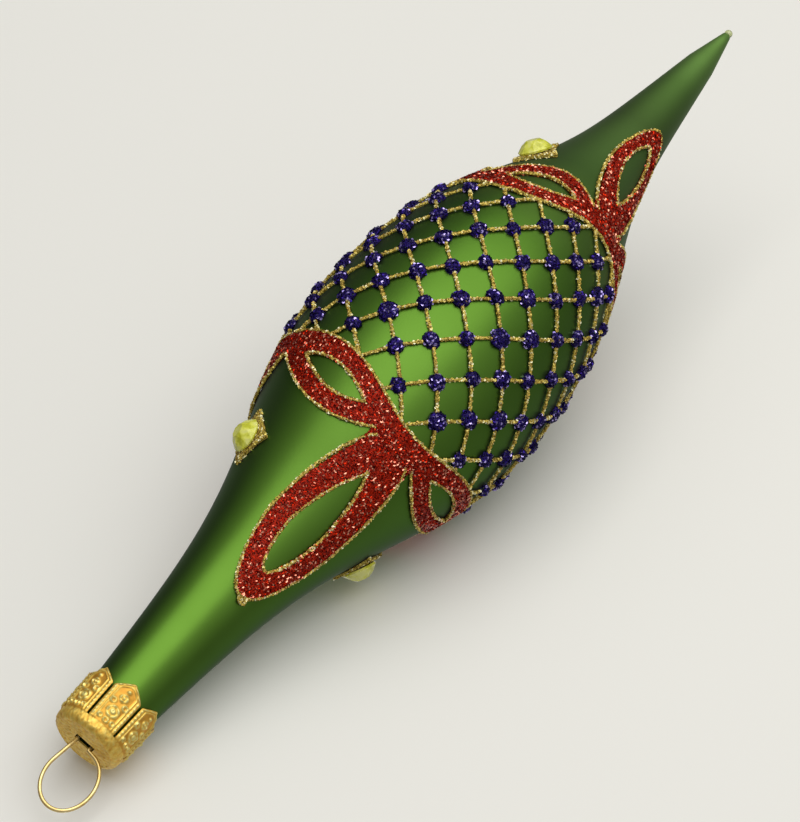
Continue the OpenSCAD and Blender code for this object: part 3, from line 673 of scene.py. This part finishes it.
def copied(name, node, spill):
    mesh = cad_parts[node].data.copy()
    mesh.materials.clear()
    shape = bmesh.new()
    shape.from_mesh(mesh)
    bmesh.ops.remove_doubles(shape, verts=shape.verts, dist=MERGE_GAP * MM)
    moves = []
    for corner in shape.verts:
        away = outward(math.atan2(corner.co.y, corner.co.x), corner.co.z / MM)
        walls = [wall.normal - away * wall.normal.dot(away) for wall in corner.link_faces
                 if abs(wall.normal.dot(away)) < WALL_FACING]
        if walls:
            moves.append((corner, spill * MM * sum(walls, Vector()).normalized()))
    for corner, move in moves:
        corner.co += move
    if spill:
        # The ends of two neighbouring swags run together
        for corner in shape.verts:
            turn, z = math.atan2(corner.co.y, corner.co.x), corner.co.z / MM
            run = z - TRELLIS_Z
            off = from_knot(math.degrees(turn), run)
            if abs(off) > SWAG_END:
                lift = (corner.co / MM - spot(turn, z, 0)).dot(outward(turn, z))
                turn += math.radians(math.copysign(SWAG_JOIN, off) - off)
                run = math.copysign(min(abs(run), SWAG_END_TOP), run)
                corner.co = MM * spot(turn, TRELLIS_Z + run, lift)
    shape.to_mesh(mesh)
    shape.free()
    piece = bpy.data.objects.new(name, mesh)
    scene.collection.objects.link(piece)
    return piece


strewn_patch = glitter_tree("strewn_patch", False)
red = glitter_finish("red_glitter", tone(52, 0, 0), tone(200, 40, 8), tone(255, 176, 146), 0.96)
for seed, node in enumerate(("neck_bow_1", "neck_bow_2", "tip_bow_1", "tip_bow_2")):
    ribbon = copied("ribbon_" + node, node, RIBBON_SPREAD)
    strewn(ribbon, strewn_patch, {**red, "Unevenness": 0.3 * MM, "Flake radius": 0.25 * MM,
                                  "Flakes per square metre": 8e6, "Seed": 11 + seed})
    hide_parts(node)
    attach(ribbon, "glass")


# Gold outlines. A finer nozzle draws a line of glue along every edge of the ribbons, round the holes too,
# and gold glitter is strewn over it. On the neck's long loops the line starts with a drop at the tip.
SWAG_START = 23.4
KNOT_RISE = 7.0
SIDE_CREST = 38.0
SIDE_FALL = 9.0
SIDE_TURN = 42.0
HOLE_NEAR, HOLE_FAR, HOLE_HALF = 25.0, 75.0, 2.9
LONG_TURN = 36.5
KNOT_TURN = 14.4
KNOT_DEPTH = 5.8
# Long loops: runs of the widest place and of the end, half turn of the hole, width of the band at the end
NECK_LOOP = (57, 74, 18, 6.4)
TIP_LOOP = (52, 65, 20, 4.8)
OUTLINE_R = 0.32
OUTLINE_LIFT = OUTLINE_R + 0.12
INSIDE = 0.5
SWAG_LINE_END = 90.4
SIDE_LINE_START, SIDE_LINE_END = KNOT_TURN + 0.3, 90.2
LONG_LINE_START = KNOT_TURN - 1.4
HOLE_TRIM = 1.2
DROP_TURN = -6.0
DROP_IN = 0.2
DROP_RINGS = (0.62, 0.2)
DEGREES_PER_MM = 7.2
LOOP_PINCH = 1.3
SWAG_STEPS, SIDE_STEPS, HOLE_STEPS, CURVE_STEPS = 60, 30, 24, 14


def swag_edge(off):
    return SWAG_START + KNOT_RISE * math.cos(math.radians(off)) ** 4


def side_top(off):
    return SIDE_CREST - SIDE_FALL * ((max(abs(off), KNOT_TURN) - SIDE_TURN) / (90 - SIDE_TURN)) ** 2


def hole_edge(off, side):
    from_middle = (abs(off) - (HOLE_NEAR + HOLE_FAR) / 2) / ((HOLE_FAR - HOLE_NEAR) / 2)
    return (swag_edge(off) + side_top(off)) / 2 + side * max(0, HOLE_HALF * (1 - from_middle ** 2))


def drawn_in(share):
    return max(0, 1 - share ** LOOP_PINCH) ** (1 / LOOP_PINCH)


def arc(share):
    return math.sqrt(max(0, 1 - share * share))


def loop_edge(start, widest, low, wide, high):
    sweep = [math.sin(t) for t in spread(-math.pi / 2, math.pi / 2, 2 * CURVE_STEPS)]
    rise = [math.sin(t) for t in spread(0, math.pi / 2, CURVE_STEPS)]
    offs = [start + (widest - start) * share for share in rise]
    climb = [(off, low + (wide - low) * (1 - drawn_in((off - start) / (widest - start)))) for off in offs]
    over = [(widest * share, wide + (high - wide) * arc(share)) for share in sweep[1:-1]]
    return [(-off, run) for off, run in climb] + over + climb[::-1]


def bow_edges(wide, end, hole_turn, band):
    knot_top = side_top(KNOT_TURN)
    swag = spread(-SWAG_LINE_END, SWAG_LINE_END, SWAG_STEPS)
    yield [(off, swag_edge(off)) for off in swag], INSIDE, False
    yield loop_edge(LONG_LINE_START, LONG_TURN, knot_top, wide, end), -INSIDE, False
    yield loop_edge(0, hole_turn, knot_top + KNOT_DEPTH, wide, end - band), -INSIDE, True
    for hand in (-1, 1):
        top = sorted(hand * off for off in spread(SIDE_LINE_START, SIDE_LINE_END, SIDE_STEPS))
        yield [(off, side_top(off)) for off in top], -INSIDE, False
        hole = sorted(hand * off for off in spread(HOLE_NEAR + HOLE_TRIM, HOLE_FAR - HOLE_TRIM, HOLE_STEPS))
        far = [(off, hole_edge(off, 1)) for off in hole]
        near = [(off, hole_edge(off, -1)) for off in hole]
        yield far + near[::-1], -INSIDE, True


def laid_line(spots, lift, shift, closed):
    points = [spot(turn, z, lift) for turn, z in spots]
    count, moved = len(points), []
    for i, (turn, z) in enumerate(spots):
        ahead = (i + 1) % count if closed else min(i + 1, count - 1)
        behind = i - 1 if closed else max(i - 1, 0)
        along = points[ahead] - points[behind]
        moved.append(points[i] + shift * outward(turn, z).cross(along).normalized())
    return moved


def line_piece(name, lines):
    points, edges = [], []
    for line, closed in lines:
        start = len(points)
        points += line
        edges += [(start + i, start + i + 1) for i in range(len(line) - 1)]
        if closed:
            edges.append((start + len(line) - 1, start))
    return add_piece(name, points, [], edges)


strewn_line = glitter_tree("strewn_line", True)
gold = glitter_finish("gold_glitter", tone(96, 64, 8), tone(255, 228, 112), tone(255, 252, 208), 0.15)
gold_lines = {**gold, "Unevenness": 0.45 * MM, "Flake radius": 0.23 * MM, "Flakes per square metre": 9e6}
for seed, (node, knot, side, loop) in enumerate((
        ("neck_bow_outline_1", NECK_KNOT, 1, NECK_LOOP),
        ("neck_bow_outline_2", NECK_KNOT + 180, 1, NECK_LOOP),
        ("tip_bow_outline_1", TIP_KNOT, -1, TIP_LOOP),
        ("tip_bow_outline_2", TIP_KNOT + 180, -1, TIP_LOOP))):
    lines = []
    for edge, shift, closed in bow_edges(*loop):
        spots = [(math.radians(knot + off), TRELLIS_Z + side * run) for off, run in edge]
        lines.append((laid_line(spots, OUTLINE_LIFT, shift * side, closed), closed))
    if loop == NECK_LOOP:
        for r in DROP_RINGS:
            drop = [(math.radians(knot + DROP_TURN + DEGREES_PER_MM * r * math.cos(angle)),
                     TRELLIS_Z + loop[1] - DROP_IN + r * math.sin(angle))
                    for angle in spread(0, 1.75 * math.pi, 7)]
            lines.append((laid_line(drop, OUTLINE_LIFT, 0, True), True))
    outline = line_piece("gold_" + node, lines)
    strewn(outline, strewn_line, {**gold_lines, "Line radius": OUTLINE_R * MM, "Seed": 31 + seed})
    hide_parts(node)
    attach(outline, "glass")


# Trellis. The same gold line is drawn in two crossing sets round the belly, from one swag to the other,
# and stops against the ribbons.
DOTS_ROUND = 15
ROWS = 6
ROW_STEP = 5.2
DOT_STEP = 360 / DOTS_ROUND
DOT_R = 1.7
DOT_NUDGE = 1.8
FIRST_DOT = -92.6
ROW_TWIST = 1.3
RIBBON_GAP = 0.2
LINE_REACH = 0.9
TRELLIS_LINE_R = 0.33
TRELLIS_LIFT = TRELLIS_LINE_R + 0.1
TRELLIS_STEPS = 12


def dot_turn(row, n):
    return FIRST_DOT + DOT_STEP * (n + (abs(row) % 2) / 2) - ROW_TWIST * row


def trellis_room(turn, run):
    return swag_edge(from_knot(turn, run)) - RIBBON_GAP


def crossing(turn, run):
    room = trellis_room(turn, run) - DOT_R
    return turn, math.copysign(room, run) if 0 < abs(run) - room <= DOT_NUDGE else run


def has_dot(turn, run):
    return abs(run) <= trellis_room(turn, run) - DOT_R + 1e-6


trellis = []
for row in range(-ROWS, ROWS):
    for n in range(DOTS_ROUND):
        for lean in (-0.5, 0.5):
            start = crossing(dot_turn(row, n), row * ROW_STEP)
            stop = crossing(start[0] - ROW_TWIST + lean * DOT_STEP, (row + 1) * ROW_STEP)
            if not (has_dot(*start) or has_dot(*stop)):
                continue
            path = [(start[0] + (stop[0] - start[0]) * share, start[1] + (stop[1] - start[1]) * share)
                    for share in spread(0, 1, TRELLIS_STEPS)]
            spots = [(math.radians(turn), TRELLIS_Z + run) for turn, run in path
                     if abs(run) <= trellis_room(turn, run) + LINE_REACH]
            if len(spots) > 2:
                trellis.append((laid_line(spots, TRELLIS_LIFT, 0, False), False))
gold_trellis = line_piece("gold_trellis", trellis)
strewn(gold_trellis, strewn_line, {**gold_lines, "Line radius": TRELLIS_LINE_R * MM, "Seed": 41})
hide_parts("trellis_lines")
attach(gold_trellis, "glass")


# Purple dots. A blob of glue is set over each crossing and heaped with purple glitter, so every dot is an
# uneven little mound, no two quite alike.
DOT_H = 1.35
DOT_LIFT = 0.1
DOT_FULLNESS = 0.8
DOT_SIDES = 12
DOT_LEVELS = (0, 22, 45, 68)
STRAY_TURN, STRAY = 0.8, 0.35
SIZES, STRETCHES, TWISTS, BULGES = (0.94, 1.2), (0.84, 1.1), (0, 6.28), (0.86, 1.08)
chance = random.Random(7)
dot_points, dot_faces = [], []
for row in range(-ROWS, ROWS + 1):
    for n in range(DOTS_ROUND):
        turn, run = crossing(dot_turn(row, n), row * ROW_STEP)
        if not has_dot(turn, run):
            continue
        turn = math.radians(turn + chance.uniform(-STRAY_TURN, STRAY_TURN))
        z = TRELLIS_Z + run + chance.uniform(-STRAY, STRAY)
        normal, around = outward(turn, z), Vector((-math.sin(turn), math.cos(turn), 0))
        upward = normal.cross(around)
        foot, start = spot(turn, z, DOT_LIFT), len(dot_points)
        size, stretch, twist = chance.uniform(*SIZES), chance.uniform(*STRETCHES), chance.uniform(*TWISTS)
        for t in DOT_LEVELS:
            r, h = DOT_R * size * math.cos(math.radians(t)) ** DOT_FULLNESS, DOT_H * math.sin(math.radians(t))
            for k in range(DOT_SIDES):
                angle = twist + 2 * math.pi * k / DOT_SIDES
                out = around * math.cos(angle) + upward * stretch * math.sin(angle)
                dot_points.append(foot + normal * h + r * chance.uniform(*BULGES) * out)
        dot_points.append(foot + normal * DOT_H)
        last = start + (len(DOT_LEVELS) - 1) * DOT_SIDES
        for low in range(start, last, DOT_SIDES):
            for k in range(DOT_SIDES):
                m = (k + 1) % DOT_SIDES
                dot_faces.append((low + k, low + m, low + DOT_SIDES + m, low + DOT_SIDES + k))
        for k in range(DOT_SIDES):
            dot_faces.append((last + k, last + (k + 1) % DOT_SIDES, last + DOT_SIDES))
        dot_faces.append(tuple(start + k for k in range(DOT_SIDES - 1, -1, -1)))
purple_dots = add_piece("purple_dots", dot_points, dot_faces)
purple = glitter_finish("purple_glitter", tone(2, 0, 8), tone(48, 31, 124), tone(204, 188, 255), 0.96)
strewn(purple_dots, strewn_patch, {**purple, "Unevenness": 0.4 * MM, "Flake radius": 0.27 * MM,
                                   "Flakes per square metre": 7e6, "Seed": 51})
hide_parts("trellis_dots")
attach(purple_dots, "glass")


# Gem pads. A four-pointed patch of glue, with sides that draw in, is the seat of each gem. It is strewn
# with gold glitter while it is wet.
for seed, node in enumerate(("neck_gem_pad_1", "neck_gem_pad_2", "tip_gem_pad_1", "tip_gem_pad_2")):
    pad = copied("gold_" + node, node, 0)
    strewn(pad, strewn_patch, {**gold, "Unevenness": 0.12 * MM, "Flake radius": 0.22 * MM,
                               "Flakes per square metre": 9e6, "Seed": 61 + seed})
    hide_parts(node)
    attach(pad, "glass")


# Gems. Flat-backed stones of lime glass or acrylic, cut with a table and two rows of facets, foiled behind
# and pressed into the wet pads.
GEM_R = 3.5
GEM_H = 2.4
GEM_LIFT = 0.75
NECK_GEM_RUN, TIP_GEM_RUN = 46, -41.5
# Rows of corners from the back to the table: shares of radius and height, count, offset in steps
GEM_ROWS = ((0.95, 0, 16, 0), (1.0, 0.16, 16, 0), (0.7, 0.68, 8, 0), (0.42, 0.98, 8, 0.5))
stone, nodes, links, shader = new_finish("lime_stone")
shader.inputs["Transmission Weight"].default_value = 0.24
shader.inputs["IOR"].default_value = 1.55
shader.inputs["Roughness"].default_value = 0.04
depths = object_noise(nodes, links, 560, 2)
limes = add_ramp(nodes, links, depths.outputs["Fac"], [
    (0.36, tone(214, 216, 50)), (0.5, tone(250, 252, 104)), (0.64, tone(255, 255, 148))])
links.new(limes.outputs["Color"], shader.inputs["Base Color"])
foil, nodes, links, shader = new_finish("gem_foil")
shader.inputs["Metallic"].default_value = 0.9
creases = object_noise(nodes, links, 1500, 3)
foils = add_ramp(nodes, links, creases.outputs["Fac"],
                 [(0.3, tone(224, 226, 110)), (0.7, tone(248, 248, 176))])
links.new(foils.outputs["Color"], shader.inputs["Base Color"])
shader.inputs["Roughness"].default_value = 0.2
for node, turn, run in (
        ("neck_gem_1", NECK_KNOT + 90, NECK_GEM_RUN),
        ("neck_gem_2", NECK_KNOT + 270, NECK_GEM_RUN),
        ("tip_gem_1", TIP_KNOT + 90, TIP_GEM_RUN),
        ("tip_gem_2", TIP_KNOT + 270, TIP_GEM_RUN)):
    turn, z = math.radians(turn), TRELLIS_Z + run
    normal, around = outward(turn, z), Vector((-math.sin(turn), math.cos(turn), 0))
    upward, foot = normal.cross(around), spot(turn, z, GEM_LIFT)
    gem_points, rows = [], []
    for r, h, count, offset in GEM_ROWS:
        rows.append(list(range(len(gem_points), len(gem_points) + count)))
        for k in range(count):
            angle = 2 * math.pi * (k + offset) / count
            out = around * math.cos(angle) + upward * math.sin(angle)
            gem_points.append(foot + normal * GEM_H * h + GEM_R * r * out)
    back, girdle, mid, top = rows
    gem_faces = [tuple(reversed(back)), tuple(top)]
    for k in range(len(girdle)):
        n = (k + 1) % len(girdle)
        gem_faces.append((back[k], back[n], girdle[n], girdle[k]))
    for k in range(len(mid)):
        n = (k + 1) % len(mid)
        gem_faces.append((girdle[2 * k], girdle[2 * k + 1], mid[k]))
        gem_faces.append((girdle[2 * k + 1], mid[n], mid[k]))
        gem_faces.append((girdle[2 * k + 1], girdle[2 * n], mid[n]))
        gem_faces.append((mid[k], mid[n], top[k]))
        gem_faces.append((top[k], mid[n], top[n]))
    gem = add_piece("cut_" + node, gem_points, gem_faces)
    gem.data.materials.append(stone)
    gem.data.materials.append(foil)
    gem.data.polygons[0].material_index = 1
    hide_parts(node)
    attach(gem, "glass")


# Table. A plain pale surface on which the ornament lies on its belly, as it was photographed; its lit side
# alone is solid, so that the ornament can be seen from behind as well.
TABLE_UP = Vector((0.493, -0.854, -0.165)).normalized()
TABLE_DROP = 25.95
TABLE_REACH = 1800
BELLY_POINT = Vector((0, 0, BELLY_Z))
table_centre = BELLY_POINT - TABLE_DROP * TABLE_UP
table_side = TABLE_UP.cross(Vector((0, 0, 1))).normalized()
table_along = TABLE_UP.cross(table_side)
table_corners = [table_centre + TABLE_REACH * (side * table_side + along * table_along)
                 for side, along in ((-1, -1), (1, -1), (1, 1), (-1, 1))]
floor = add_piece("table", table_corners, [(0, 1, 2, 3)])
if floor.data.polygons[0].normal.dot(TABLE_UP) < 0:
    floor.data.flip_normals()
board, nodes, links, shader = new_finish("pale_table")
shader.inputs["Roughness"].default_value = 0.6
veil = object_noise(nodes, links, 3, 2)
pales = add_ramp(nodes, links, veil.outputs["Fac"], [(0.3, tone(233, 232, 227)), (0.7, tone(238, 237, 232))])
links.new(pales.outputs["Color"], shader.inputs["Base Color"])
side_seen = nodes.new("ShaderNodeNewGeometry")
clear_back = nodes.new("ShaderNodeBsdfTransparent")
one_sided = nodes.new("ShaderNodeMixShader")
links.new(side_seen.outputs["Backfacing"], one_sided.inputs["Fac"])
links.new(shader.outputs["BSDF"], one_sided.inputs[1])
links.new(clear_back.outputs["BSDF"], one_sided.inputs[2])
links.new(one_sided.outputs["Shader"], nodes["Material Output"].inputs["Surface"])
floor.data.materials.append(board)
floor.visible_diffuse = False
floor.visible_glossy = False


# Camera and light. The camera stands over the cap's end, rolled as the photograph was framed; a broad soft
# lamp hangs over the table and the room round it is dimmer.
FRAME_HEIGHT = 822
FOCAL_PIXELS = 4000
SENSOR_HEIGHT = 24
CAMERA_PLACE = Vector((-1.99, -674.93, 253.78))
LAMP_PLACE = (0.9, 0.2, 0.06)
LAMP_SIZE = (1.15, 1.3)
LAMP_POWER = 6.4
SKY_LEAN = (-0.15, 0.3)
camera_data = bpy.data.cameras.new("camera")
camera_data.sensor_fit = "VERTICAL"
camera_data.sensor_height = SENSOR_HEIGHT
camera_data.lens = SENSOR_HEIGHT * FOCAL_PIXELS / FRAME_HEIGHT
camera_data.clip_end = 20
camera = bpy.data.objects.new("camera", camera_data)
right = Vector((-0.74115, -0.31549, -0.59259))
upright = Vector((0.67134, -0.34829, -0.65421))
backward = Vector((0, -0.88270, 0.46994))
facing = Matrix((right, upright, backward)).transposed().to_4x4()
camera.matrix_world = Matrix.Translation(CAMERA_PLACE * MM) @ facing
scene.collection.objects.link(camera)
scene.camera = camera

far_side = (-backward + TABLE_UP * backward.dot(TABLE_UP)).normalized()
lamp_data = bpy.data.lights.new("overhead", "AREA")
lamp_data.shape = "RECTANGLE"
lamp_data.size, lamp_data.size_y = LAMP_SIZE
lamp_data.energy = LAMP_POWER
lamp_data.color = (1.0, 0.985, 0.95)
lamp = bpy.data.objects.new("overhead", lamp_data)
to_lamp = LAMP_PLACE[0] * TABLE_UP + LAMP_PLACE[1] * right + LAMP_PLACE[2] * far_side
lamp.location = BELLY_POINT * MM + to_lamp
lamp.rotation_euler = (-to_lamp).to_track_quat("-Z", "Y").to_euler()
scene.collection.objects.link(lamp)

room = bpy.data.worlds.new("room")
room.use_nodes = True
scene.world = room
nodes, links = room.node_tree.nodes, room.node_tree.links


def height_along(direction):
    heading = nodes.new("ShaderNodeTexCoord")
    height = nodes.new("ShaderNodeVectorMath")
    height.operation = "DOT_PRODUCT"
    height.inputs[1].default_value = direction
    links.new(heading.outputs["Generated"], height.inputs[0])
    return height.outputs["Value"]


height = height_along((TABLE_UP + SKY_LEAN[0] * far_side + SKY_LEAN[1] * right).normalized())
sky = add_ramp(nodes, links, height, [
    (0.0, (0.08, 0.08, 0.075, 1)), (0.4, (0.33, 0.327, 0.315, 1)), (0.9, (0.7, 0.7, 0.69, 1))])
depth = height_along(-TABLE_UP)
bounce = add_ramp(nodes, links, depth, [(0.2, (0.26, 0.255, 0.24, 1)), (0.95, (0.62, 0.61, 0.59, 1))])
light = nodes.new("ShaderNodeMix")
light.data_type = "RGBA"
links.new(ranged(nodes, links, depth, 0.0, 1.0, 0.02, 0.2), light.inputs["Factor"])
links.new(sky.outputs["Color"], light.inputs["A"])
links.new(bounce.outputs["Color"], light.inputs["B"])
links.new(light.outputs["Result"], nodes["Background"].inputs["Color"])
scene.view_settings.view_transform = "Standard"
